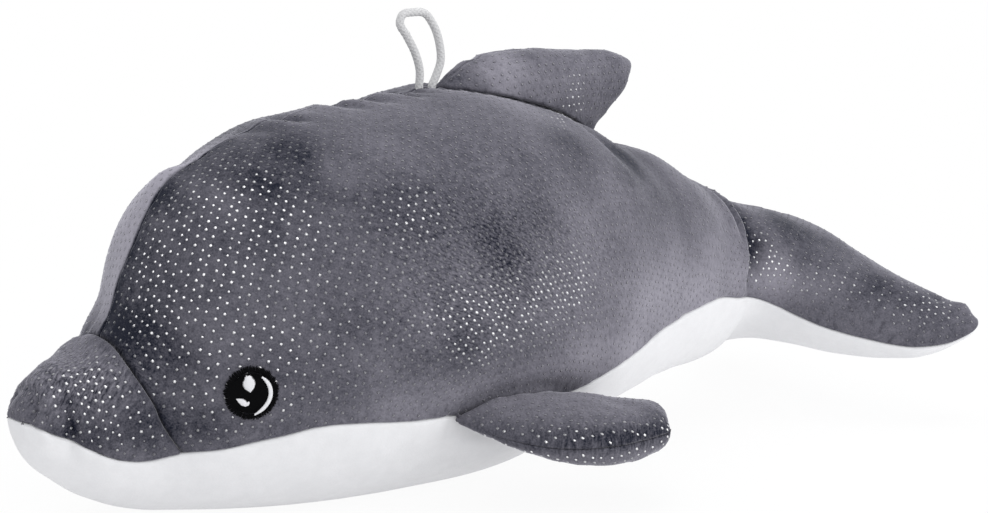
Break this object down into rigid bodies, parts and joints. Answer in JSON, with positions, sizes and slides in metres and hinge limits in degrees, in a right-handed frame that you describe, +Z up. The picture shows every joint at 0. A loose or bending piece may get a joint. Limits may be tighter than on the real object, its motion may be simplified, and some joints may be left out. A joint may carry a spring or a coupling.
{
  "type": "plush dolphin",
  "caption": "Plump plush dolphin lying on its belly, with grey dotted velour back, white belly, embroidered eyes and a cord loop on its back.",
  "frame": {"origin": "on the table, in the middle of the flat of the belly", "axes": "+X along the body toward the tail, the head at -X; -Y the dolphin's left flank; +Z up"},
  "size_m": [0.447, 0.2354, 0.1976],
  "materials": {
    "grey_velour": "short grey velour with small silver foil dots",
    "white_velour": "short white velour",
    "fibre": "polyester fibre filling",
    "black_thread": "black satin stitch",
    "white_thread": "white satin stitch",
    "white_cord": "white braided cord"
  },
  "bodies": {
    "root": {"back_panel_left": "grey_velour", "back_panel_right": "grey_velour", "snout_panel": "grey_velour", "belly_panel": "white_velour", "body_stuffing": "fibre", "dorsal_fin_left": "grey_velour", "dorsal_fin_right": "grey_velour", "dorsal_fin_stuffing": "fibre", "flipper_left_upper": "grey_velour", "flipper_left_under": "grey_velour", "flipper_left_stuffing": "fibre", "flipper_right_upper": "grey_velour", "flipper_right_under": "grey_velour", "flipper_right_stuffing": "fibre", "eye_left": "black_thread", "eye_left_glint_round": "white_thread", "eye_left_glint_arc": "white_thread", "eye_left_glint_leaf": "white_thread", "eye_right": "black_thread", "eye_right_glint_round": "white_thread", "eye_right_glint_arc": "white_thread", "eye_right_glint_leaf": "white_thread", "hang_loop": "white_cord"}
  },
  "joints": []
}
